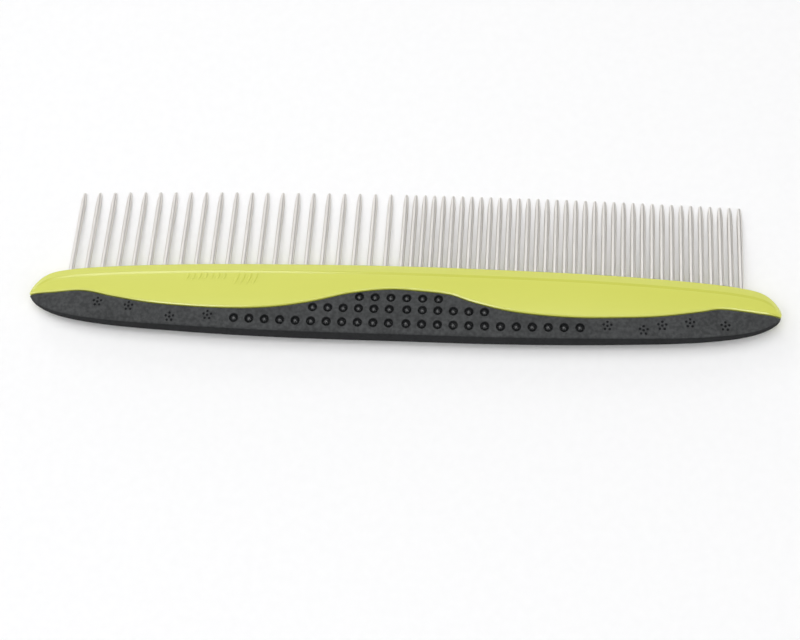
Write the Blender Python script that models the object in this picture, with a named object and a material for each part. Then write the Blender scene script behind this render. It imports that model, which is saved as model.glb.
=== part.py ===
"""Two-density pet comb: a green spine that holds 57 steel pins, and a soft grip moulded over its back.

Lengths here are in millimetres and turn into metres when a mesh is made. +X runs along the handle towards
the close-spaced pins, +Y along the pins towards their tips, and +Z is up. The origin is the centre of the
flat on the underside, where the comb rests. Sections are drawn about the comb's mid-plane, which lies
REST_HALF above the origin.
"""

import math

import bmesh
import bpy
import numpy as np
from mathutils import Vector

MM = 0.001

# The row of pins: one pin length, two pitches that share the pin at mid-length
FIELD_HALF = 94.5
COARSE_PITCH = 4.5
FINE_PITCH = 2.7
PIN_LENGTH = 33.0
TIP_Y = 36.3
TIP_ARC_RADIUS = 2300.0
PIN_RADIUS = 0.75
PIN_SIDES = 8
# Distance from the tip and radius there, down to the chamfered foot
PIN_PROFILE = ((0.0, 0.22), (0.5, 0.42), (2.0, 0.58), (7.0, PIN_RADIUS), (32.6, PIN_RADIUS), (33.0, 0.55))
SEAT_GAP = 0.1
SEAT_FLOOR_GAP = 0.3
SEAT_MOUTH_OVERRUN = 2.0

# Outline of the handle's right half, from mid-length round the nose and back; the left half mirrors it.
# The first and last points only steer the curve's ends.
OUTLINE = (
    (-30, -9.95), (0, -10.0), (30, -9.95), (58, -9.25), (84, -7.75), (96, -5.9), (101.5, -3.9), (104.8, -1.6),
    (105.7, 0.3), (105.1, 2.2), (102.9, 5.1), (100.2, 6.95), (94.5, 8.3), (83, 9.5), (60, 10.75), (30, 11.5),
    (0, 11.8), (-30, 11.5),
)
# Line where the green face meets the grip, with its hump at mid-length and a rise near each end
WAVE = (
    (-115, -2.4), (-105.6, -0.8), (-98.3, 0.0), (-89.8, 0.7), (-80.9, -0.8), (-69.2, -2.6), (-49.2, -3.7),
    (-35.1, -3.0), (-24, -1.0), (-13, 1.9), (-1.9, 3.45), (6.5, 3.2), (15, 2.25), (20.6, 0.3),
    (31.8, -2.2), (48, -3.5), (62, -3.0), (72.8, -2.0), (83.7, -0.2), (89.2, 0.8), (99.9, -0.2),
    (105.6, -0.4), (115, -1.0),
)
CURVE_STEPS = 10
END_X = 105.5
GRIP_END_X = 103.0
STATIONS = 45
STATION_SPREAD = 0.9

# Half-thickness over the mid-plane at mid-length; all of it thins towards the ends
CROWN_HALF = 4.2
REST_HALF = 4.1
RIDGE_FALL = 0.6
NEAR_FALL = 1.5
LAND_HALF = 1.9
BEVEL_WIDTH = 3.1
THINNING = 0.3
THINNING_X = 85.0
THINNING_POWER = 2.9
NOSE_LENGTH = 4.0
NOSE_SHARE = 0.45

# The grip: rubber over a tongue that runs on from the green face
RUBBER = 1.6
CORNER = 1.2
TONGUE_MARGIN = 1.8
MARGIN_SHARE = 0.3
MOULD_GAP = 0.3
FACE_STEPS = 4
GRIP_STEPS = 5
TONGUE_STEPS = 4

GREEN = (0.68, 0.71, 0.15)
BLACK = (0.062, 0.065, 0.065)
STEEL = (0.62, 0.60, 0.57)


def clear_scene():
    for obj in list(bpy.data.objects):
        bpy.data.objects.remove(obj, do_unlink=True)


def material(name, colour, roughness, metallic):
    made = bpy.data.materials.new(name)
    made.use_nodes = True
    shader = made.node_tree.nodes["Principled BSDF"]
    shader.inputs["Base Color"].default_value = (*colour, 1.0)
    shader.inputs["Roughness"].default_value = roughness
    shader.inputs["Metallic"].default_value = metallic
    made.diffuse_color = (*colour, 1.0)
    return made


def smooth_curve(points):
    """Points along a smooth curve through the given ones, without its first and last span."""
    control = np.array(points, float)
    spans = np.sqrt(np.linalg.norm(np.diff(control, axis=0), axis=1))
    knots = np.concatenate([[0.0], np.cumsum(spans)])
    slopes = np.gradient(control, knots, axis=0)
    share = np.linspace(0, 1, CURVE_STEPS, endpoint=False)[:, None]
    rise = share * share * (3 - 2 * share)
    pieces = []
    for i in range(1, len(control) - 2):
        width = knots[i + 1] - knots[i]
        leave = width * slopes[i] * share * (1 - share) ** 2
        arrive = width * slopes[i + 1] * share * share * (share - 1)
        pieces.append(control[i] + (control[i + 1] - control[i]) * rise + leave + arrive)
    pieces.append(control[-2:-1])
    return np.vstack(pieces)


OUTLINE_CURVE = smooth_curve(OUTLINE)
NOSE = int(OUTLINE_CURVE[:, 0].argmax())
NEAR_CURVE = OUTLINE_CURVE[: NOSE + 1]
FAR_CURVE = OUTLINE_CURVE[NOSE:][::-1]
WAVE_CURVE = smooth_curve(WAVE)


def near_edge(x):
    return float(np.interp(abs(x), NEAR_CURVE[:, 0], NEAR_CURVE[:, 1]))


def far_edge(x):
    return float(np.interp(abs(x), FAR_CURVE[:, 0], FAR_CURVE[:, 1]))


def ridge_line(x):
    """Where the crowned face turns down into the bevel beside the pins."""
    far = far_edge(x)
    return far - BEVEL_WIDTH * math.sqrt(far / far_edge(0))


def wave_line(x):
    wave = float(np.interp(x, WAVE_CURVE[:, 0], WAVE_CURVE[:, 1]))
    return min(max(wave, 0.8 * near_edge(x)), 0.8 * ridge_line(x))


def thickness_share(x):
    """How much of the mid-length thickness is left at x, with the nose rounded off."""
    share = 1 - THINNING * (abs(x) / THINNING_X) ** THINNING_POWER
    past = max(0.0, abs(x) - (END_X - NOSE_LENGTH)) / NOSE_LENGTH
    return share * (1 - NOSE_SHARE * (1 - math.sqrt(1 - min(past, 1.0) ** 2)))


def crown(x, y):
    """Height of the outer face over the mid-plane, cut flat where the comb rests."""
    fall = RIDGE_FALL * (y / ridge_line(x)) ** 2 if y > 0 else NEAR_FALL * (y / near_edge(x)) ** 2
    return min(thickness_share(x) * (CROWN_HALF - fall), REST_HALF)


def tongue_top(x, y):
    return crown(x, y) - RUBBER * thickness_share(x)


def tongue_edge(x):
    near = near_edge(x)
    return near + min(TONGUE_MARGIN, MARGIN_SHARE * (wave_line(x) - near))


def spread(start, end, steps):
    return [start + (end - start) * i / steps for i in range(steps + 1)]


def spine_half(x):
    """Upper half of the spine's section, from the pins' side to the near side."""
    far, ridge, wave = far_edge(x), ridge_line(x), wave_line(x)
    half = [(far, LAND_HALF * thickness_share(x))]
    half += [(y, crown(x, y)) for y in spread(ridge, wave, FACE_STEPS)]
    if abs(x) <= GRIP_END_X + MOULD_GAP:
        half += [(y, tongue_top(x, y)) for y in spread(wave, tongue_edge(x), TONGUE_STEPS)]
    else:
        half += [(y, crown(x, y)) for y in spread(wave, near_edge(x), TONGUE_STEPS + 1)[1:]]
    return half


def grip_outer_half(x):
    """Upper half of the grip's outside, from the wavy line round the near corner."""
    near, round_off = near_edge(x), CORNER * thickness_share(x)
    corner = near + round_off
    half = [(y, crown(x, y)) for y in spread(wave_line(x) - MOULD_GAP, corner, GRIP_STEPS)]
    top = half[-1][1]
    for angle in (45, 90):
        turn = math.radians(angle)
        half.append((corner - round_off * math.sin(turn), top - round_off * (1 - math.cos(turn))))
    return half


def grip_inner_half(x):
    """Upper half of the channel that takes the tongue."""
    ends = spread(wave_line(x) - MOULD_GAP, tongue_edge(x) - MOULD_GAP, TONGUE_STEPS)
    return [(y, tongue_top(x, y) + MOULD_GAP) for y in ends]


def mirrored_ring(x, half):
    """The closed section at x whose upper half is given."""
    lower = [(y, -z) for y, z in reversed(half)]
    return [(x, y, z) for y, z in half + lower]


def spine_ring(x):
    return mirrored_ring(x, spine_half(x))


def grip_ring(x):
    outer = mirrored_ring(x, grip_outer_half(x))
    inner = mirrored_ring(x, grip_inner_half(x))
    return outer + inner[::-1]


def stations(end):
    """Places along X, closer together towards the noses."""
    turn = STATION_SPREAD * math.pi / 2
    return [end * math.sin(turn * step) / math.sin(turn) for step in spread(-1, 1, STATIONS - 1)]


def spine_stations():
    """The spine's stations, with a pair at each end of the grip where the tongue stops."""
    tongue_stop = GRIP_END_X + MOULD_GAP
    full_start = tongue_stop + MOULD_GAP
    kept = [x for x in stations(END_X) if not tongue_stop - 0.5 < abs(x) < full_start + 0.5]
    return sorted(kept + [side * x for side in (-1, 1) for x in (tongue_stop, full_start)])


def loft(rings):
    """A closed body through rings of equally many points, in metres."""
    body = bmesh.new()
    made = [[body.verts.new(Vector(point) * MM) for point in ring] for ring in rings]
    for first, second in zip(made, made[1:]):
        for i in range(len(first)):
            after = (i + 1) % len(first)
            body.faces.new((first[i], first[after], second[after], second[i]))
    body.faces.new(reversed(made[0]))
    body.faces.new(made[-1])
    bmesh.ops.recalc_face_normals(body, faces=body.faces)
    return body


def mesh_of(name, body, surface, smooth_angle):
    mesh = bpy.data.meshes.new(name)
    body.to_mesh(mesh)
    body.free()
    mesh.materials.append(surface)
    mesh.shade_smooth()
    mesh.set_sharp_from_angle(angle=math.radians(smooth_angle))
    return mesh


def place(name, mesh, holder, at=(0, 0, 0)):
    obj = bpy.data.objects.new(name, mesh)
    obj.location = Vector(at) * MM
    obj.parent = holder
    bpy.context.scene.collection.objects.link(obj)
    return obj


def circle_ring(y, radius, x=0.0):
    turns = [2 * math.pi * (i + 0.5) / PIN_SIDES for i in range(PIN_SIDES)]
    return [(x + radius * math.cos(turn), y, radius * math.sin(turn)) for turn in turns]


def coarse_places():
    count = round(FIELD_HALF / COARSE_PITCH)
    return [-FIELD_HALF + i * COARSE_PITCH for i in range(count)]


def fine_places():
    count = round(FIELD_HALF / FINE_PITCH) + 1
    return [i * FINE_PITCH for i in range(count)]


def tip_y(x):
    """The tips stand on a shallow arc."""
    return TIP_Y - x * x / (2 * TIP_ARC_RADIUS)


def make_pins(holder, steel):
    body = loft([circle_ring(-back, radius) for back, radius in PIN_PROFILE])
    mesh = mesh_of("pin", body, steel, 50)
    for kind, places in (("coarse", coarse_places()), ("fine", fine_places())):
        for number, x in enumerate(places, start=1):
            place(f"{kind}_pin_{number:02d}", mesh, holder, (x, tip_y(x), 0))


def make_seat_cutter(holder, surface):
    """One prism for each pin's blind hole, open at the spine's pin side."""
    cutter = bmesh.new()
    for x in coarse_places() + fine_places():
        floor = tip_y(x) - PIN_LENGTH - SEAT_FLOOR_GAP
        mouth = far_edge(x) + SEAT_MOUTH_OVERRUN
        ends = (circle_ring(floor, PIN_RADIUS + SEAT_GAP, x), circle_ring(mouth, PIN_RADIUS + SEAT_GAP, x))
        prism = loft(ends)
        part = bpy.data.meshes.new("seat")
        prism.to_mesh(part)
        prism.free()
        cutter.from_mesh(part)
        bpy.data.meshes.remove(part)
    obj = place("seat_cutter", mesh_of("seat_cutter", cutter, surface, 50), holder)
    obj.hide_render = True
    obj.display_type = "WIRE"
    return obj


def make_spine(holder, green):
    body = loft([spine_ring(x) for x in spine_stations()])
    spine = place("spine", mesh_of("spine", body, green, 20), holder)
    cut = spine.modifiers.new("pin_seats", "BOOLEAN")
    cut.operation = "DIFFERENCE"
    cut.solver = "EXACT"
    cut.object = make_seat_cutter(holder, green)


def make_grip(holder, black):
    body = loft([grip_ring(x) for x in stations(GRIP_END_X)])
    place("grip", mesh_of("grip", body, black, 35), holder)


def main():
    clear_scene()
    comb = bpy.data.objects.new("comb", None)
    comb.location = (0, 0, REST_HALF * MM)
    bpy.context.scene.collection.objects.link(comb)
    make_spine(comb, material("green_plastic", GREEN, 0.4, 0.0))
    make_grip(comb, material("black_rubber", BLACK, 0.75, 0.0))
    make_pins(comb, material("pin_steel", STEEL, 0.3, 1.0))


main()
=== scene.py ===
"""The looks of a two-density pet comb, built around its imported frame.

Sections and outlines are drawn in millimetres about the comb's mid-plane: +X along the handle towards the
close-spaced pins, +Y along the pins, +Z up. in_frame() turns drawn points into the frame's metres.
"""

import math

import bpy
import numpy as np
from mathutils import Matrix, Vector
from mathutils.geometry import delaunay_2d_cdt


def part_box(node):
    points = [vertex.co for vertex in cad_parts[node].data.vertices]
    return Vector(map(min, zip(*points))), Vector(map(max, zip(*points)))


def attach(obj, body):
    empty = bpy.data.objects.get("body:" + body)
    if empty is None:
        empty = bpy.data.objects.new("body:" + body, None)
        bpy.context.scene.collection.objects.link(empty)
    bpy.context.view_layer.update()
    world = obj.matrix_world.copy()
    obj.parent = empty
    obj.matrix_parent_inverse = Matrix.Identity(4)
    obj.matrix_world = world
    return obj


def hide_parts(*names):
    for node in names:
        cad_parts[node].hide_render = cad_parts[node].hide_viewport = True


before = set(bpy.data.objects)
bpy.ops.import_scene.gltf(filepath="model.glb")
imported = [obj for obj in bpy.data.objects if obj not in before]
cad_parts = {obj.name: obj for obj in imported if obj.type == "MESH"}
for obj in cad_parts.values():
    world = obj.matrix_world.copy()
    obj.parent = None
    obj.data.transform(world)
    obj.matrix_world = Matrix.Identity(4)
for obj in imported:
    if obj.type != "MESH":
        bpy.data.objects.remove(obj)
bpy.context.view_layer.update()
SPINE_LOW, SPINE_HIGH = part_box("spine")
PINS = sorted(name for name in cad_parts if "_pin_" in name)

# One drawn millimetre in the frame's metres, and the height of the mid-plane
DRAWN_LENGTH = 211.0
MM = (SPINE_HIGH.x - SPINE_LOW.x) / DRAWN_LENGTH
MID_Z = (SPINE_LOW.z + SPINE_HIGH.z) / 2
CROWN_HALF = (SPINE_HIGH.z - SPINE_LOW.z) / 2 / MM

# Outline of the handle's right half, from mid-length round the nose and back; the left half mirrors it.
# The first and last points only steer the curve's ends.
OUTLINE = (
    (-30, -9.9), (0, -9.95), (30, -9.9), (57.7, -9.2), (83.5, -7.75), (95.4, -5.9), (100.9, -3.9),
    (104.2, -1.6), (105.1, 0.3), (104.5, 2.2), (102.3, 5.1), (99.6, 6.9), (93.9, 8.25), (82.5, 9.42),
    (59.6, 10.7), (30, 11.47), (0, 11.8), (-30, 11.47),
)
# Line where the green face meets the grip, with its hump at mid-length and a rise near each end
WAVE = (
    (-114.6, -2.4), (-105.2, -0.65), (-97.85, 0.03), (-89.4, 0.68), (-80.5, -1.05), (-68.8, -2.9),
    (-48.9, -3.93), (-34.9, -3.3), (-23.9, -1.37), (-13, 1.6), (-2, 3.15), (6.4, 2.82), (14.8, 1.89),
    (20.4, -0.05), (31.5, -2.6), (47.6, -3.72), (61.4, -3.26), (72.1, -2.4), (82.9, -0.55), (88.3, 0.55),
    (99, -0.2), (104.6, -0.75), (113.9, -1.3),
)
# Least share of the face that is left on either side of that line
WAVE_ROOM = 0.15
CURVE_STEPS = 16
FILLET_STEPS = 4
STATIONS = 361
STATION_SPREAD = 0.95
SPINE_END = 105.0
GRIP_END = 104.7
# Below these angles, in degrees, an edge is shaded smooth
SPINE_SMOOTH = 40
GRIP_SMOOTH = 50
PIN_SMOOTH = 50

# Section at mid-length: how far the crown falls to the ridge and to the near edge, the land beside the
# pins, and the bevel's width. Heights thin towards the ends.
RIDGE_FALL = 0.6
NEAR_FALL = 1.5
LAND_HALF = 1.9
LAND_ROUND = 0.5
BEVEL_WIDTH = 3.1
THINNING = 0.3
THINNING_X = 85.0
THINNING_POWER = 2.9
NOSE_LENGTH = 4.2
NOSE_SHARE = 0.5

# The rounded ridge where the bevel meets the face. RIDGE_SHARE and ROLL_SHARE divide the green face's
# width, for the most that a rounding may take where it is narrow.
RIDGE_ROUND = 0.58
RIDGE_STEPS = 8
RIDGE_SHARE = 6
BEVEL_POINTS = (0.3, 0.5)
FACE_STEPS = 18

# Two groups of small raised bars on the upper face, under the ridge: first bar's X, count and height
BAR_GROUPS = ((-40.4, 4, 3.9), (-49.3, 7, 2.4))
BAR_PITCH = 1.75
BAR_WIDTH = 0.95
BAR_SLANT = 0.25
BAR_GAP = 0.8
BAR_RISE = 0.2
BAR_SHOULDER = 0.4
BAR_TOP_SHARE = 0.7
BAR_ROOT = 0.15
BAR_SIDES = 16

# The seam between green and grip, and the tongue under the rubber
SEAM = 0.34
EDGE_ROUND = 0.3
EDGE_SHARE = 0.2
EDGE_STEPS = 3
ROLL_WIDTH = 0.4
ROLL_SHARE = 5
ROLL_DROP = 0.24
ROLL_ROUND = 0.12
POLISHED_REACH = 0.4
RUBBER = 1.6
TONGUE_MARGIN = 1.8
TONGUE_LEAST = 0.15
TONGUE_FADE = (96.0, 102.0)
TONGUE_STEPS = 5
CHANNEL_STEPS = 4
BOND_GAP = 0.04
CORNER_REACH = 0.55
CORNER_DROP = 1.1
CORNER_SHARE = 0.4
CORNER_STEPS = 7
SIDE_STEPS = (3.5, 7.0)

# Nubs: rows by distance from the near edge, columns left and right, first column and pitch.
# Each is a polished dome in a ring groove.
NUB_MIDDLE = 0.445
NUB_ROWS = ((2.85, 11, 12, 2.4, 4.325), (6.87, 6, 6, 2.43, 4.275), (10.37, 3, 3, 2.21, 4.385))
NUB_DOME = 0.84
NUB_FLOOR = 1.02
NUB_RADIUS = 1.3
NUB_DEPTH = 0.8
NUB_SUNK = 0.06
# Radius round each nub within which the rubber takes painted shade, a darker colour, over the groove
NUB_SHADE_REACH = 1.28
NUB_RINGS = (0.2, 0.38, 0.53, 0.65, 0.74, 0.8, 0.84, 1.02, 1.11, 1.2, 1.3, 1.37)
NUB_SIDES = 32

# Small engraved rosettes along the thin ends of the grip: centre X and Y
ROSETTES = (
    (-84.5, -2.8), (-75.4, -4.0), (-63.4, -6.9), (-52.7, -6.2),
    (57.8, -5.8), (67.6, -6.6), (72.6, -5.1), (80.1, -4.0), (89.6, -4.4),
)
ROSETTE_RADIUS = 1.1
ROSETTE_DOTS = 5
DOT_RINGS = (0.16, 0.29, 0.4)
DOT_SIDES = 12
DOT_DEPTH = 0.3
# Radius round each rosette dot within which the rubber takes painted shade, a darker colour
DOT_SHADE_REACH = 0.33
ROSETTE_TURN = 0.25

# Filler points over the rest of the grip's face, in staggered rows
FILLER_STEP = 0.95
FILLER_ROW_STEP = FILLER_STEP * 0.87
FILLER_CLEAR = 0.42
FILLER_RING_CLEAR = FILLER_CLEAR * 0.8
MERGE_DISTANCE = 1e-6

# Finish values on the grip, which its material reads: the near side and the cuts take painted shade, a darker
# rubber colour with the face's roughness, and the nubs are polished
SHADE_FINISH = 0.5
NUB_FINISH = 1.0

# Pins: distance from the tip to where the taper ends, its power, and the foot's chamfer
PIN_RADIUS = 0.75
PIN_TAPER = 4.0
PIN_POWER = 0.25
PIN_TAPER_RINGS = 16
PIN_RING_CROWDING = 3
PIN_SIDES = 28
PIN_CHAMFER = 0.4
PIN_FOOT_RADIUS = 0.55
PIN_SHAFT_POINTS = (0.25, 0.5, 0.75)

# Materials: colours are ramp stops over a noise or over the finish, each noise is its scale in features
# per metre and its detail, and each range runs from a factor of 0 to a factor of 1
GRAIN_HEIGHT = 0.0002
GREEN_COLOURS = ((0.3, (0.594, 0.619, 0.104)), (0.7, (0.604, 0.629, 0.110)))
GREEN_CLOUDS = (35.0, 2.0)
GREEN_GRAIN = (2600.0, 4.0)
GREEN_BUMP = 0.05
GREEN_ROUGHNESS = (0.36, 0.46)
GREEN_POLISHED = 0.15
GREEN_SPECULAR = (0.5, 1.0)
# Rubber colour by finish value: the grained face, then a darker painted shade for the near side and the cuts,
# then the polished nubs' dark colour
RUBBER_COLOURS_AND_SHADE = (
    (0.0, (0.053, 0.055, 0.056)),
    (0.4, (0.0145, 0.0153, 0.0165)),
    (1.0, (0.014, 0.015, 0.016)),
)
RUBBER_GRAIN = (3200.0, 5.0)
RUBBER_BUMP = 0.18
RUBBER_CLOUDS = (1000.0, 6.0)
RUBBER_CLOUD_SHADES = ((0.36, (0.78, 0.78, 0.78)), (0.64, (1.22, 1.22, 1.22)))
RUBBER_PATCHES = (110.0, 3.0)
RUBBER_PATCH_SHADES = ((0.35, (0.9, 0.9, 0.9)), (0.65, (1.1, 1.1, 1.1)))
RUBBER_ROUGHNESS = (0.6, 0.75)
RUBBER_POLISHED = 0.28
RUBBER_SPECULAR = (0.1, 0.8)
STEEL_COLOURS = ((0.3, (0.825, 0.8, 0.765)), (0.7, (0.905, 0.88, 0.845)))
STEEL_EDGE = (0.2, 0.18, 0.16, 1.0)
STEEL_GRAIN = (3000.0, 3.0)
STEEL_STRETCH = (1.0, 0.02, 1.0)
STEEL_ROUGHNESS = (0.42, 0.52)
PAPER_COLOURS = ((0.2, (0.89, 0.89, 0.895)), (0.8, (0.91, 0.91, 0.915)))
PAPER_GRAIN = (400.0, 2.0)
PAPER_ROUGHNESS = 0.9
PAPER_SPECULAR = 0.1

# Floor: a plane that touches the underside of the face. The middle pins' tips end 0.21 mm below it, and
# the end pins' tips 0.02 mm above it.
FLOOR_SLOPE = 0.12
FLOOR_SIZE = 2.0

# Lights, in metres and watts: name, azimuth, elevation, energy and diameter of each softbox
SOFTBOX_DISTANCE = 1.2
SOFTBOXES = (
    ("top_softbox", 0, 88, 5.8, 0.9),
    ("front_softbox", 150, 64, 3.5, 0.8),
    ("left_softbox", 277, 60, 1.8, 0.9),
    ("low_left_softbox", 283, 36, 1.6, 0.8),
    ("low_right_softbox", 125, 38, 1.75, 0.8),
    ("low_front_softbox", 225, 36, 1.3, 0.8),
    ("key_lamp", 211, 51.5, 1.2, 0.36),
    ("far_lamp", 337, 38, 1.15, 0.44),
)
NO_GLOSS = ("front_softbox",)
ROOM_GLOW = 0.08
WALL_TOP = 0.45
WALLS = (("Y", 1.0, 2.8), ("X", 1.0, 1.22), ("X", -1.0, 1.1))

# Camera: lens and sensor in millimetres, place in drawn millimetres, and turn in degrees about X, Y and Z
CAMERA_LENS = 73.737
SENSOR_WIDTH = 36.0
NEAREST_SEEN = 0.01
CAMERA_PLACE = (41.243, -212.872, 401.559)
CAMERA_TURN = (27.442, 5.107, 1.752)


def smooth_curve(points):
    """Points along a smooth curve through the given ones, without its first and last span."""
    control = np.array(points, float)
    spans = np.sqrt(np.linalg.norm(np.diff(control, axis=0), axis=1))
    knots = np.concatenate([[0.0], np.cumsum(spans)])
    slopes = np.gradient(control, knots, axis=0)
    share = np.linspace(0, 1, CURVE_STEPS, endpoint=False)[:, None]
    rise = share * share * (3 - 2 * share)
    pieces = []
    for i in range(1, len(control) - 2):
        width = knots[i + 1] - knots[i]
        leave = width * slopes[i] * share * (1 - share) ** 2
        arrive = width * slopes[i + 1] * share * share * (share - 1)
        pieces.append(control[i] + (control[i + 1] - control[i]) * rise + leave + arrive)
    pieces.append(control[-2:-1])
    return np.vstack(pieces)


OUTLINE_CURVE = smooth_curve(OUTLINE)
NOSE = int(OUTLINE_CURVE[:, 0].argmax())
NEAR_CURVE = OUTLINE_CURVE[: NOSE + 1]
FAR_CURVE = OUTLINE_CURVE[NOSE:][::-1]
WAVE_CURVE = smooth_curve(WAVE)


def near_edge(x):
    return float(np.interp(abs(x), NEAR_CURVE[:, 0], NEAR_CURVE[:, 1]))


def far_edge(x):
    return float(np.interp(abs(x), FAR_CURVE[:, 0], FAR_CURVE[:, 1]))


def nose_y():
    return float(OUTLINE_CURVE[NOSE, 1])


def ridge_line(x):
    """Where the crowned face turns down into the bevel beside the pins."""
    far = far_edge(x)
    return far - BEVEL_WIDTH * math.sqrt(max(far - nose_y(), 0.0) / (far_edge(0) - nose_y()))


def wave_line(x):
    near, ridge = near_edge(x), ridge_line(x)
    wave = float(np.interp(x, WAVE_CURVE[:, 0], WAVE_CURVE[:, 1]))
    room = WAVE_ROOM * (ridge - near)
    return min(max(wave, near + room), ridge - room)


def thickness_share(x):
    """How much of the mid-length thickness is left at x, with the nose rounded off."""
    share = 1 - THINNING * (abs(x) / THINNING_X) ** THINNING_POWER
    past = max(0.0, abs(x) - (SPINE_END - NOSE_LENGTH)) / NOSE_LENGTH
    return share * (1 - NOSE_SHARE * (1 - math.sqrt(1 - min(past, 1.0) ** 2)))


def crown(x, y):
    """Height of the outer face over the mid-plane."""
    reach = ridge_line(x) if y > 0 else near_edge(x)
    fall = RIDGE_FALL if y > 0 else NEAR_FALL
    return thickness_share(x) * (CROWN_HALF - fall * (y / reach) ** 2)


def smooth_step(value, start, end):
    share = min(max((value - start) / (end - start), 0.0), 1.0)
    return share * share * (3 - 2 * share)


def spread(start, end, steps):
    return [start + (end - start) * i / steps for i in range(steps + 1)]


def fillet(before, corner, after, reach, steps=FILLET_STEPS):
    """Points that round a corner of a section, starting and ending reach away from it."""
    before, corner, after = np.array(before), np.array(corner), np.array(after)
    inward, onward = before - corner, after - corner
    start = corner + inward * min(0.5, reach / np.linalg.norm(inward))
    end = corner + onward * min(0.5, reach / np.linalg.norm(onward))
    points = [start * (1 - t) ** 2 + corner * 2 * t * (1 - t) + end * t * t for t in spread(0, 1, steps)]
    return [tuple(point) for point in points]


def stations(end):
    """Places along X, closer together towards the noses."""
    turn = STATION_SPREAD * math.pi / 2
    return [end * math.sin(turn * step) / math.sin(turn) for step in spread(-1, 1, STATIONS - 1)]


def in_frame(x, y, z):
    """A drawn point in the frame's metres."""
    return (x * MM, y * MM, z * MM + MID_Z)


def new_piece(name, points, faces, surface, nodes, smooth_angle=SPINE_SMOOTH):
    """A piece that rides on the comb's one body and stands for the given CAD nodes."""
    mesh = bpy.data.meshes.new(name)
    mesh.from_pydata([in_frame(*point) for point in points], [], faces)
    mesh.validate()
    mesh.materials.append(surface)
    mesh.shade_smooth()
    mesh.set_sharp_from_angle(angle=math.radians(smooth_angle))
    piece = bpy.data.objects.new(name, mesh)
    bpy.context.scene.collection.objects.link(piece)
    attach(piece, "root")
    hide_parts(*nodes)
    return piece


def set_finish(piece, values):
    """Give each point a finish value, which the materials read: a share of polish, and on the grip also
    painted shade, a darker rubber colour.
    """
    mark = piece.data.attributes.new("finish", "FLOAT", "POINT")
    mark.data.foreach_set("value", np.array(values, np.float32))


# Spine


def tongue_edge(x):
    """Near side of the tongue, which shortens to a small rib at the grip's tips."""
    near, wave = near_edge(x), wave_line(x) + SEAM / 2
    length = max(wave - near - TONGUE_MARGIN, 0.0) * (1 - smooth_step(abs(x), *TONGUE_FADE))
    return wave - max(length, TONGUE_LEAST * min(1.0, (wave - near) / 2))


def spine_half(x):
    """Upper half of the spine's section, from the pins' side to the tongue's near edge."""
    share = thickness_share(x)
    far, ridge, wave = far_edge(x), ridge_line(x), wave_line(x) + SEAM / 2
    turn = min(RIDGE_ROUND, (ridge - wave) / RIDGE_SHARE)
    roll = min(ROLL_WIDTH, (ridge - wave) / ROLL_SHARE)
    land = (far, LAND_HALF * share)
    top = (ridge, crown(x, ridge))
    inner = (ridge - 2 * turn, crown(x, ridge - 2 * turn))
    face_end = (wave + roll, crown(x, wave + roll))
    edge = (wave, crown(x, wave) - ROLL_DROP * share)
    tongue = [(y, crown(x, y) - RUBBER * share) for y in spread(wave, tongue_edge(x), TONGUE_STEPS)]
    half = fillet((far, 0.0), land, top, LAND_ROUND * share)
    half += [tuple(np.array(land) + (np.array(top) - np.array(land)) * t) for t in BEVEL_POINTS]
    half += fillet(land, top, inner, turn, RIDGE_STEPS)
    half += [(y, crown(x, y)) for y in spread(inner[0], wave + 2 * roll, FACE_STEPS)]
    half += fillet(half[-1], face_end, edge, ROLL_ROUND * share)
    half += fillet(face_end, edge, tongue[0], ROLL_ROUND * share)
    half += tongue
    return half


def mirrored_ring(x, half):
    lower = [(y, -z) for y, z in reversed(half)]
    return [(x, y, z) for y, z in half + lower]


def loft(rings):
    """Points and faces of a closed body through rings of equally many points.

    The faces point out when each ring runs clockwise about the way from the first ring to the last. The
    spine's and the grip's rings run the other way, so their lofted faces point in.
    """
    count = len(rings[0])
    points = [point for ring in rings for point in ring]
    faces = []
    for i in range(len(rings) - 1):
        for j in range(count):
            here, after = i * count + j, i * count + (j + 1) % count
            faces.append((here, here + count, after + count, after))
    last = (len(rings) - 1) * count
    faces.append(tuple(range(count)))
    faces.append(tuple(range(last + count - 1, last - 1, -1)))
    return points, faces


def polish_at(x, y):
    """1 on the ridge and on the rolled edge at the seam, which are smoother than the face, else 0."""
    from_ridge = abs(y - ridge_line(x) + RIDGE_ROUND / 2)
    from_roll = abs(y - wave_line(x) - ROLL_WIDTH / 2)
    return float(min(from_ridge, from_roll) < POLISHED_REACH)


def make_spine(surface):
    rings = [mirrored_ring(x, spine_half(x)) for x in stations(SPINE_END)]
    points, faces = loft(rings)
    spine = new_piece("spine_body", points, faces, surface, ["spine"])
    set_finish(spine, [polish_at(x, y) for x, y, _ in points])


def bar_ring(x, height, share, rise):
    """One outline of a raised bar, drawn at this share of its full size."""
    middle = ridge_line(x) - BAR_GAP - height / 2
    ring = []
    for turn in spread(0, 2 * math.pi, BAR_SIDES)[:-1]:
        along = share * height / 2 * math.sin(turn)
        across = x + share * BAR_WIDTH / 2 * math.cos(turn) + BAR_SLANT * along
        ring.append((across, middle + along, crown(across, middle + along) + rise))
    return ring


def make_bars(surface):
    """Generic raised bars, with their roots inside the spine."""
    points, faces = [], []
    for start, count, height in BAR_GROUPS:
        for i in range(count):
            x = start - BAR_PITCH * i
            levels = ((1.0, -BAR_ROOT), (1.0, BAR_SHOULDER * BAR_RISE), (BAR_TOP_SHARE, BAR_RISE))
            rings = [bar_ring(x, height, share, rise)[::-1] for share, rise in levels]
            bar, walls = loft(rings)
            faces += [tuple(corner + len(points) for corner in wall) for wall in walls]
            points += bar
    new_piece("spine_bars", points, faces, surface, ["spine"])


# Grip


def corner_size(x):
    """How far the near corner's rounding reaches over the face and down the near side."""
    room = CORNER_SHARE * (wave_line(x) - near_edge(x))
    share = thickness_share(x)
    return min(CORNER_REACH * share, room), CORNER_DROP * share


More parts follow.
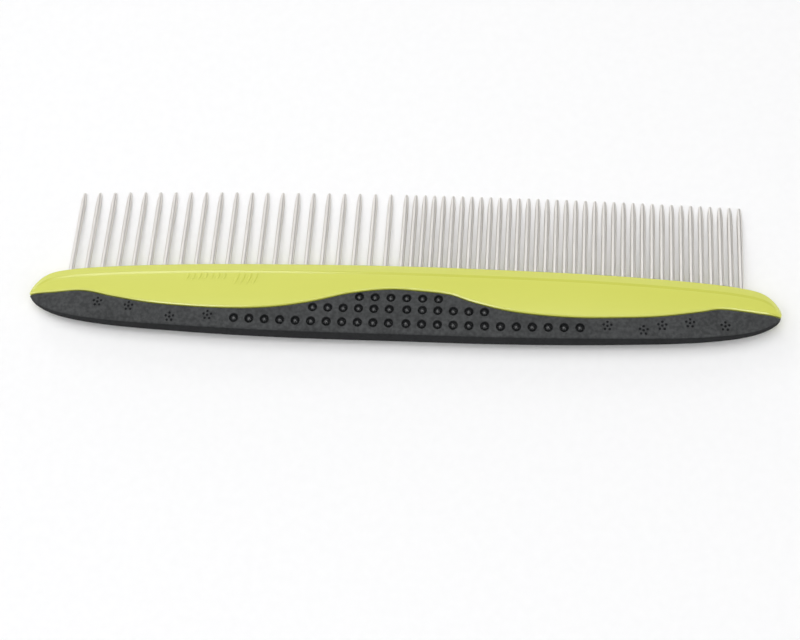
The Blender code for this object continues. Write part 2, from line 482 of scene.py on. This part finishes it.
def grip_outside(x):
    """Round the near side, from the upper face's near line to the lower one's."""
    near = near_edge(x)
    reach, drop = corner_size(x)
    start = near + reach
    top = crown(x, start)
    half = []
    for turn in spread(0, math.pi / 2, CORNER_STEPS):
        half.append((start - reach * math.sin(turn), top - drop * (1 - math.cos(turn))))
    return half + [(y, -z) for y, z in reversed(half)]


def grip_inside(x):
    """From the lower face's seam edge round the channel to the upper face's seam edge."""
    share = thickness_share(x)
    wave = wave_line(x) - SEAM / 2
    round_off = min(EDGE_ROUND * share, EDGE_SHARE * (wave - near_edge(x)))
    foot = (wave, crown(x, wave) - RUBBER * share + BOND_GAP)
    inner = (wave - 2 * round_off, crown(x, wave - 2 * round_off))
    half = fillet(inner, (wave, crown(x, wave)), foot, round_off, EDGE_STEPS)
    end = tongue_edge(x) - BOND_GAP
    half += [(y, crown(x, y) - RUBBER * share + BOND_GAP) for y in spread(wave, end, CHANNEL_STEPS)]
    return [(y, -z) for y, z in half] + list(reversed(half))


def nub_places():
    """Centres of the nubs on one face."""
    places = []
    for from_near, left, right, first, pitch in NUB_ROWS:
        columns = [-first - pitch * i for i in range(left)] + [first + pitch * i for i in range(right)]
        places += [(NUB_MIDDLE + x, near_edge(NUB_MIDDLE + x) + from_near) for x in columns]
    return places


def nub_depth(radius):
    """How deep the face is cut at this distance from a nub's centre."""
    if radius <= NUB_DOME:
        return NUB_DEPTH - (NUB_DEPTH - NUB_SUNK) * math.sqrt(1 - (radius / NUB_DOME) ** 2)
    return NUB_DEPTH * (1 - smooth_step(radius, NUB_FLOOR, NUB_RADIUS))


def rosette_dots():
    dots = []
    for x, y in ROSETTES:
        dots.append((x, y))
        for i in range(ROSETTE_DOTS):
            turn = 2 * math.pi * (i + ROSETTE_TURN) / ROSETTE_DOTS
            dots.append((x + ROSETTE_RADIUS * math.cos(turn), y + ROSETTE_RADIUS * math.sin(turn)))
    return dots


def rings_at(places, radii, sides, depth_at):
    """Concentric rings round each place, with the depth of the face at each point."""
    made = []
    for x, y in places:
        made.append((x, y, depth_at(0.0)))
        for number, radius in enumerate(radii):
            depth = depth_at(radius)
            for i in range(sides):
                turn = 2 * math.pi * (i + (number % 2) / 2) / sides
                made.append((x + radius * math.cos(turn), y + radius * math.sin(turn), depth))
    return made


def dot_depth(radius):
    return DOT_DEPTH * (1 - (radius / DOT_RINGS[-1]) ** 2)


def filler_points(nubs, dots, low, high):
    """Staggered points over the rest of the face, clear of its edges, nubs and dots."""
    keep_off = np.array([(*place, NUB_RINGS[-1]) for place in nubs] + [(*dot, DOT_RINGS[-1]) for dot in dots])
    made = []
    for row, x in enumerate(np.arange(-GRIP_END + 1, GRIP_END - 1, FILLER_ROW_STEP)):
        bottom, top = low(x) + FILLER_CLEAR, high(x) - FILLER_CLEAR
        for y in np.arange(bottom + FILLER_STEP / 2 * (row % 2), top, FILLER_STEP):
            distance = np.hypot(keep_off[:, 0] - x, keep_off[:, 1] - y)
            if (distance > keep_off[:, 2] + FILLER_RING_CLEAR).all():
                made.append((x, y, 0.0))
    return made


def face_skin(places, outsides, insides):
    """Triangles of the grip's face. The first points are its near line, then its seam line back again."""
    near_line = [(x, side[0][0]) for x, side in zip(places, outsides)]
    seam_line = [(x, side[-1][0]) for x, side in zip(places, insides)]
    border = near_line + seam_line[::-1]
    xs = [x for x, _ in near_line]
    nubs, dots = nub_places(), rosette_dots()
    extra = rings_at(nubs, NUB_RINGS, NUB_SIDES, nub_depth)
    extra += rings_at(dots, DOT_RINGS, DOT_SIDES, dot_depth)
    extra += filler_points(
        nubs, dots,
        lambda x: np.interp(x, xs, [y for _, y in near_line]),
        lambda x: np.interp(x, xs, [y for _, y in seam_line]),
    )
    flat = [Vector(point) for point in border] + [Vector(point[:2]) for point in extra]
    loop = list(range(len(border)))
    vertices, _, triangles, origins, _, _ = delaunay_2d_cdt(flat, [], [loop], 1, MERGE_DISTANCE)
    depths = [0.0] * len(border) + [depth for _, _, depth in extra]
    points = []
    for vertex, origin in zip(vertices, origins):
        depth = depths[origin[0]] if origin else 0.0
        points.append((vertex.x, vertex.y, crown(vertex.x, vertex.y) - depth))
    return points, triangles, origins


def grip_finish_and_shade(piece, ring_points, outside):
    """0 on the grained face; a middle value on the near side and in the cuts, which paints shade there as a
    darker rubber colour; NUB_FINISH on the polished nubs.
    """
    points = np.array([point.co[:2] for point in piece.data.vertices])
    finish = np.zeros(len(points))
    ring_size = ring_points // STATIONS
    # Painted shade: the rubber darkens from the face down onto the near side
    for step in range(outside):
        from_face = min(step, outside - 1 - step)
        finish[step:ring_points:ring_size] = SHADE_FINISH * smooth_step(from_face, *SIDE_STEPS)
    nubs = nub_places()
    # Painted shade in the nubs' grooves and the rosettes' dots; the nub domes are polished
    rounds = (
        (nubs, NUB_SHADE_REACH, SHADE_FINISH),
        (nubs, NUB_DOME, NUB_FINISH),
        (rosette_dots(), DOT_SHADE_REACH, SHADE_FINISH),
    )
    for places, radius, value in rounds:
        for x, y in places:
            centre = in_frame(x, y, 0)[:2]
            finish[np.hypot(*(points - centre).T) < radius * MM] = value
    return finish


def make_grip(surface):
    """Lofted walls joined to two skins. The skins leave four open gaps of about 0.1 mm at the tips."""
    places = stations(GRIP_END)
    outsides = [grip_outside(x) for x in places]
    insides = [grip_inside(x) for x in places]
    rings = [[(x, y, z) for y, z in outer + inner] for x, outer, inner in zip(places, outsides, insides)]
    outer_count, count = len(outsides[0]), len(rings[0])
    points, faces = loft(rings)
    ring_points = len(points)
    seams = {outer_count - 1, count - 1}
    walls = []
    for number, face in enumerate(faces[:-2]):
        if number % count not in seams:
            walls.append(face)
    faces = walls + faces[-2:]
    skin, triangles, origins = face_skin(places, outsides, insides)
    border = len(places)
    shared = {}
    for i in range(border):
        shared[i] = (i * count, i * count + outer_count - 1)
        back = border - 1 - i
        shared[border + i] = (back * count + count - 1, back * count + outer_count)
    for side, sign in ((0, 1), (1, -1)):
        index = []
        for (x, y, z), origin in zip(skin, origins):
            known = [shared[o][side] for o in origin if o in shared]
            if known:
                index.append(known[0])
            else:
                index.append(len(points))
                points.append((x, y, z * sign))
        for triangle in triangles:
            corners = tuple(index[i] for i in triangle)
            faces.append(corners[::sign])
    grip = new_piece("grip_sleeve", points, faces, surface, ["grip"], GRIP_SMOOTH)
    set_finish(grip, grip_finish_and_shade(grip, ring_points, outer_count))


# Pins


def pin_profile(length):
    """Distance from the tip and radius there, from the blunt tip to the chamfered foot."""
    profile = [(0.0, 0.0)]
    for i in range(1, PIN_TAPER_RINGS + 1):
        back = PIN_TAPER * (i / PIN_TAPER_RINGS) ** PIN_RING_CROWDING
        profile.append((back, PIN_RADIUS * (back / PIN_TAPER) ** PIN_POWER))
    profile += [(PIN_TAPER + (length - PIN_TAPER) * t, PIN_RADIUS) for t in PIN_SHAFT_POINTS]
    profile += [(length - PIN_CHAMFER, PIN_RADIUS), (length, PIN_FOOT_RADIUS)]
    return profile


def pin_mesh(length, surface):
    """One pin with its tip at the origin and its shaft along -Y, in metres."""
    points, faces, profile = [(0.0, 0.0, 0.0)], [], pin_profile(length)[1:]
    turns = [2 * math.pi * i / PIN_SIDES for i in range(PIN_SIDES)]
    for back, radius in profile:
        points += [(radius * math.sin(turn), -back, radius * math.cos(turn)) for turn in turns]
    for j in range(PIN_SIDES):
        after = (j + 1) % PIN_SIDES
        faces.append((0, 1 + j, 1 + after))
        for i in range(len(profile) - 1):
            first, second = 1 + i * PIN_SIDES, 1 + (i + 1) * PIN_SIDES
            faces.append((first + j, second + j, second + after, first + after))
    last = 1 + (len(profile) - 1) * PIN_SIDES
    faces.append(tuple(range(last + PIN_SIDES - 1, last - 1, -1)))
    mesh = bpy.data.meshes.new("pin")
    mesh.from_pydata([tuple(value * MM for value in point) for point in points], [], faces)
    mesh.materials.append(surface)
    mesh.shade_smooth()
    mesh.set_sharp_from_angle(angle=math.radians(PIN_SMOOTH))
    return mesh


def make_pins(surface):
    low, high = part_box(PINS[0])
    mesh = pin_mesh((high.y - low.y) / MM, surface)
    for node in PINS:
        low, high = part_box(node)
        pin = bpy.data.objects.new("steel_" + node, mesh)
        pin.location = ((low.x + high.x) / 2, high.y, (low.z + high.z) / 2)
        bpy.context.scene.collection.objects.link(pin)
        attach(pin, "root")
        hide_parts(node)


# Materials


class Nodes:
    """A material's node tree, with short calls to add and link nodes."""

    def __init__(self, name):
        self.material = bpy.data.materials.new(name)
        self.material.use_nodes = True
        self.tree = self.material.node_tree
        self.shader = self.tree.nodes["Principled BSDF"]

    def add(self, kind, **values):
        node = self.tree.nodes.new(kind)
        for name, value in values.items():
            if name in node.inputs:
                node.inputs[name].default_value = value
            else:
                setattr(node, name, value)
        return node

    def link(self, source, target):
        self.tree.links.new(source, target)

    def noise(self, scale, detail, stretch=(1.0, 1.0, 1.0)):
        """Noise over the object's own metres, scale being features per metre."""
        place = self.add("ShaderNodeTexCoord")
        mapping = self.add("ShaderNodeMapping", Scale=stretch)
        texture = self.add("ShaderNodeTexNoise", Scale=scale, Detail=detail)
        self.link(place.outputs["Object"], mapping.inputs["Vector"])
        self.link(mapping.outputs["Vector"], texture.inputs["Vector"])
        return texture.outputs["Fac"]

    def ramp(self, factor, stops):
        node = self.add("ShaderNodeValToRGB")
        elements = node.color_ramp.elements
        while len(elements) < len(stops):
            elements.new(0.5)
        for element, (position, colour) in zip(elements, stops):
            element.position = position
            element.color = (*colour, 1.0)
        self.link(factor, node.inputs["Fac"])
        return node.outputs["Color"]

    def bump(self, height, strength, distance):
        node = self.add("ShaderNodeBump", Strength=strength, Distance=distance)
        self.link(height, node.inputs["Height"])
        self.link(node.outputs["Normal"], self.shader.inputs["Normal"])

    def map_range(self, factor, low, high, start=0.0):
        """The factor from start to 1, as a value from low to high."""
        node = self.add("ShaderNodeMapRange")
        node.inputs["From Min"].default_value = start
        node.inputs["To Min"].default_value = low
        node.inputs["To Max"].default_value = high
        self.link(factor, node.inputs["Value"])
        return node.outputs["Result"]

    def vary(self, factor, low, high, target):
        self.link(self.map_range(factor, low, high), self.shader.inputs[target])

    def multiply(self, first, second):
        node = self.add("ShaderNodeVectorMath", operation="MULTIPLY")
        self.link(first, node.inputs[0])
        self.link(second, node.inputs[1])
        return node.outputs["Vector"]

    def mix(self, factor, first, second_value):
        """The first value, moved towards a fixed second one by the factor."""
        node = self.add("ShaderNodeMix")
        self.link(factor, node.inputs["Factor"])
        self.link(first, node.inputs["A"])
        node.inputs["B"].default_value = second_value
        return node.outputs["Result"]


def green_plastic():
    """Moulded plastic: a fine grain on the faces, and a polished ridge and seam edge."""
    made = Nodes("green_plastic")
    broad = made.noise(*GREEN_CLOUDS)
    made.link(made.ramp(broad, GREEN_COLOURS), made.shader.inputs["Base Color"])
    fine = made.noise(*GREEN_GRAIN)
    finish = made.add("ShaderNodeAttribute", attribute_name="finish").outputs["Fac"]
    matte = made.map_range(fine, *GREEN_ROUGHNESS)
    made.link(made.mix(finish, matte, GREEN_POLISHED), made.shader.inputs["Roughness"])
    made.link(made.map_range(finish, *GREEN_SPECULAR), made.shader.inputs["Specular IOR Level"])
    made.bump(fine, GREEN_BUMP, GRAIN_HEIGHT)
    return made.material


def black_rubber():
    """Grained rubber with cloudy wear, painted shade on the near side and in the cuts as a darker colour, and
    polished nubs.
    """
    made = Nodes("black_rubber")
    finish = made.add("ShaderNodeAttribute", attribute_name="finish").outputs["Fac"]
    grain = made.noise(*RUBBER_GRAIN)
    cloudy = made.ramp(made.noise(*RUBBER_CLOUDS), RUBBER_CLOUD_SHADES)
    # Painted shade: the near side and the cuts get a darker base colour than the face
    colour = made.ramp(finish, RUBBER_COLOURS_AND_SHADE)
    patches = made.ramp(made.noise(*RUBBER_PATCHES), RUBBER_PATCH_SHADES)
    made.link(made.multiply(made.multiply(colour, cloudy), patches), made.shader.inputs["Base Color"])
    polished = made.map_range(finish, 0.0, 1.0, SHADE_FINISH)
    matte = made.map_range(grain, *RUBBER_ROUGHNESS)
    made.link(made.mix(polished, matte, RUBBER_POLISHED), made.shader.inputs["Roughness"])
    made.link(made.map_range(polished, *RUBBER_SPECULAR), made.shader.inputs["Specular IOR Level"])
    made.bump(grain, RUBBER_BUMP, GRAIN_HEIGHT)
    return made.material


def pin_steel():
    """Drawn steel, its grain stretched along the pin and its reflections darker towards the pin's sides."""
    made = Nodes("pin_steel")
    drawn = made.noise(*STEEL_GRAIN, STEEL_STRETCH)
    made.link(made.ramp(drawn, STEEL_COLOURS), made.shader.inputs["Base Color"])
    made.shader.inputs["Metallic"].default_value = 1.0
    made.vary(drawn, *STEEL_ROUGHNESS, "Roughness")
    made.shader.inputs["Specular Tint"].default_value = STEEL_EDGE
    return made.material


def floor_paper():
    """Pale paper that is clear from below, so that a low view still shows the comb."""
    made = Nodes("floor_paper")
    grain = made.noise(*PAPER_GRAIN)
    made.link(made.ramp(grain, PAPER_COLOURS), made.shader.inputs["Base Color"])
    made.shader.inputs["Roughness"].default_value = PAPER_ROUGHNESS
    made.shader.inputs["Specular IOR Level"].default_value = PAPER_SPECULAR
    side = made.add("ShaderNodeNewGeometry")
    clear = made.add("ShaderNodeBsdfTransparent")
    one_sided = made.add("ShaderNodeMixShader")
    made.link(side.outputs["Backfacing"], one_sided.inputs["Fac"])
    made.link(made.shader.outputs["BSDF"], one_sided.inputs[1])
    made.link(clear.outputs["BSDF"], one_sided.inputs[2])
    made.link(one_sided.outputs["Shader"], made.tree.nodes["Material Output"].inputs["Surface"])
    return made.material


# Stage


def floor_touch():
    """Place under the comb's face where a plane of the floor's slope touches it, drawn in millimetres."""
    y = FLOOR_SLOPE * ridge_line(0) ** 2 / (2 * RIDGE_FALL)
    return y, -crown(0, y)


def make_floor():
    y, z = floor_touch()
    half = FLOOR_SIZE / 2
    mesh = bpy.data.meshes.new("floor")
    corners = [(-half, -half, 0), (half, -half, 0), (half, half, 0), (-half, half, 0)]
    mesh.from_pydata(corners, [], [tuple(range(len(corners)))])
    mesh.materials.append(floor_paper())
    floor = bpy.data.objects.new("floor", mesh)
    floor.rotation_euler = (math.atan(FLOOR_SLOPE), 0, 0)
    floor.location = in_frame(0, y, z)
    bpy.context.scene.collection.objects.link(floor)


def make_softbox(name, azimuth, elevation, energy, size):
    """A round lamp that faces the comb. Azimuth turns clockwise from +Y, seen from above."""
    turn, rise = math.radians(azimuth), math.radians(elevation)
    towards = Vector((math.cos(rise) * math.sin(turn), math.cos(rise) * math.cos(turn), math.sin(rise)))
    light = bpy.data.lights.new(name, "AREA")
    light.shape = "DISK"
    light.size = size
    light.energy = energy
    softbox = bpy.data.objects.new(name, light)
    softbox.location = towards * SOFTBOX_DISTANCE
    softbox.rotation_euler = towards.to_track_quat("Z", "Y").to_euler()
    softbox.visible_camera = False
    softbox.visible_glossy = name not in NO_GLOSS
    bpy.context.scene.collection.objects.link(softbox)


def make_room():
    """A dim studio whose pale walls glow near the horizon, more at the back than at the sides."""
    world = bpy.data.worlds.new("studio")
    bpy.context.scene.world = world
    world.use_nodes = True
    tree = world.node_tree

    def math_node(operation, first, second):
        node = tree.nodes.new("ShaderNodeMath")
        node.operation = operation
        for socket, value in zip(node.inputs, (first, second)):
            if isinstance(value, float):
                socket.default_value = value
            else:
                tree.links.new(value, socket)
        return node.outputs["Value"]

    place = tree.nodes.new("ShaderNodeTexCoord")
    parts = tree.nodes.new("ShaderNodeSeparateXYZ")
    tree.links.new(place.outputs["Generated"], parts.inputs["Vector"])
    band = tree.nodes.new("ShaderNodeMapRange")
    band.interpolation_type = "SMOOTHSTEP"
    tree.links.new(parts.outputs["Z"], band.inputs["Value"])
    band.inputs["From Max"].default_value = WALL_TOP
    band.inputs["To Min"].default_value = 1.0
    band.inputs["To Max"].default_value = 0.0
    glow = None
    for axis, sign, strength in WALLS:
        facing = math_node("MAXIMUM", math_node("MULTIPLY", parts.outputs[axis], sign), 0.0)
        wall = math_node("MULTIPLY", facing, strength)
        glow = wall if glow is None else math_node("ADD", glow, wall)
    glow = math_node("MULTIPLY", glow, band.outputs["Result"])
    background = tree.nodes["Background"]
    background.inputs["Color"].default_value = (1.0, 1.0, 1.0, 1.0)
    tree.links.new(math_node("ADD", glow, ROOM_GLOW), background.inputs["Strength"])


def make_lights():
    for softbox in SOFTBOXES:
        make_softbox(*softbox)
    make_room()


def make_camera():
    camera = bpy.data.cameras.new("camera")
    camera.sensor_width = SENSOR_WIDTH
    camera.lens = CAMERA_LENS
    camera.clip_start = NEAREST_SEEN
    seen = bpy.data.objects.new("camera", camera)
    seen.location = in_frame(*CAMERA_PLACE)
    seen.rotation_mode = "ZYX"
    seen.rotation_euler = [math.radians(angle) for angle in CAMERA_TURN]
    bpy.context.scene.collection.objects.link(seen)
    bpy.context.scene.camera = seen
    bpy.context.scene.view_settings.view_transform = "Standard"


green = green_plastic()
make_spine(green)
make_bars(green)
make_grip(black_rubber())
make_pins(pin_steel())
make_floor()
make_lights()
make_camera()
